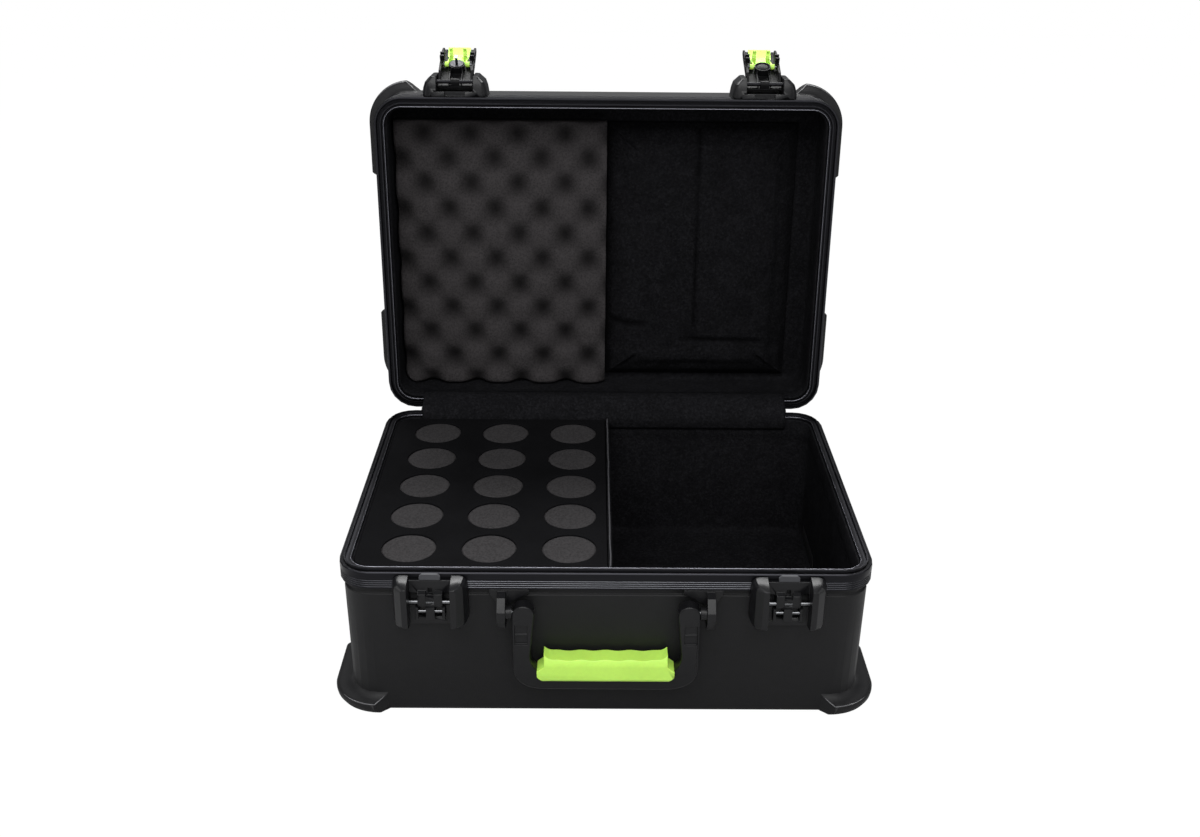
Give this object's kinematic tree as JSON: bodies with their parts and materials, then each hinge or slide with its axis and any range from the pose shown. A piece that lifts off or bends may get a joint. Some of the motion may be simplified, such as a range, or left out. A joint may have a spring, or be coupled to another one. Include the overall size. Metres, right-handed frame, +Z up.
{
  "type": "microphone case",
  "caption": "Moulded microphone case with a hinged lid, two lever latches, a folding carry handle, foam drops for microphones and an open compartment.",
  "frame": {"origin": "on the underside of the base, under the middle of the rim outline", "axes": "+X to the right seen from the front, -Y towards the front with the handle, +Z up with the case standing on its base"},
  "size_m": [0.561, 0.4971, 0.5947],
  "materials": {
    "moulded": "moulded, fine grain",
    "frame": "dark anodised, satin",
    "hardware": "moulded, satin",
    "plush": "short plush pile",
    "skin": "thin black plush skin",
    "foam": "open-cell foam",
    "crate": "open-cell foam",
    "piping": "woven edge tape",
    "lime": "soft-touch moulding",
    "tab": "moulded, satin",
    "steel": "polished"
  },
  "bodies": {
    "base": {"base_shell": "moulded", "base_frame": "frame", "hinge_leaf_base": "frame", "base_lining": "plush", "divider_panel": "plush", "hinge_flap": "plush", "divider_piping": "piping", "foam_block": "foam", "foam_top_skin": "skin", "hinge_pin": "steel", "handle_pin_left": "steel", "handle_pin_right": "steel", "handle_bracket_left": "hardware", "handle_bracket_right": "hardware", "keeper_left": "hardware", "keeper_tab_left": "tab", "keeper_upper_pin_left": "steel", "keeper_lower_pin_left": "steel", "keeper_right": "hardware", "keeper_tab_right": "tab", "keeper_upper_pin_right": "steel", "keeper_lower_pin_right": "steel"},
    "lid": {"lid_shell": "moulded", "lid_frame": "frame", "hinge_leaf_lid": "frame", "lid_lining": "plush", "lid_pad": "plush", "lid_crate_foam": "crate", "latch_housing_left": "hardware", "lever_pin_left": "steel", "latch_housing_right": "hardware", "lever_pin_right": "steel"},
    "handle": {"handle_bail": "hardware", "handle_grip": "lime"},
    "lever_left_body": {"lever_left": "hardware", "trigger_pin_left_a": "steel", "trigger_pin_left_b": "steel", "lever_rivet_left_a": "steel", "lever_rivet_left_b": "steel", "trigger_spring_left": "steel"},
    "trigger_left_body": {"trigger_left": "lime"},
    "lever_right_body": {"lever_right": "hardware", "trigger_pin_right_a": "steel", "trigger_pin_right_b": "steel", "lever_rivet_right_a": "steel", "lever_rivet_right_b": "steel", "trigger_spring_right": "steel", "blank_plug": "hardware"},
    "trigger_right_body": {"trigger_right": "lime"},
    "lock_body": {"lock_cylinder": "steel", "lock_bolt": "steel"}
  },
  "joints": [
    {"name": "lid_hinge", "type": "hinge", "parent": "base", "child": "lid", "pos_m": [0, 0.1922, 0.16825], "axis": [1, 0, 0], "range_deg": [0, 91.85], "deforming": ["hinge_flap"]},
    {"name": "handle_swing", "type": "hinge", "parent": "base", "child": "handle", "pos_m": [0, -0.198, 0.129], "axis": [-1, 0, 0], "range_deg": [0, 90]},
    {"name": "lever_swing_left", "type": "hinge", "parent": "lid", "child": "lever_left_body", "pos_m": [-0.172, 0.21723, 0.56385], "axis": [1, 0, 0], "range_deg": [0, 156]},
    {"name": "trigger_pull_left", "type": "hinge", "parent": "lever_left_body", "child": "trigger_left_body", "pos_m": [-0.172, 0.25058, 0.57742], "axis": [-1, 0, 0], "range_deg": [0, 12], "stiffness_Nm_per_rad": 0.12, "springref_deg": -14.32},
    {"name": "lever_swing_right", "type": "hinge", "parent": "lid", "child": "lever_right_body", "pos_m": [0.178, 0.21723, 0.56385], "axis": [1, 0, 0], "range_deg": [0, 156]},
    {"name": "trigger_pull_right", "type": "hinge", "parent": "lever_right_body", "child": "trigger_right_body", "pos_m": [0.178, 0.25058, 0.57742], "axis": [-1, 0, 0], "range_deg": [0, 12], "stiffness_Nm_per_rad": 0.12, "springref_deg": -14.32},
    {"name": "lock_turn", "type": "hinge", "parent": "lever_left_body", "child": "lock_body", "pos_m": [-0.172, 0.24435, 0.57813], "axis": [0, -0.377, 0.9262], "range_deg": [0, 90]}
  ]
}
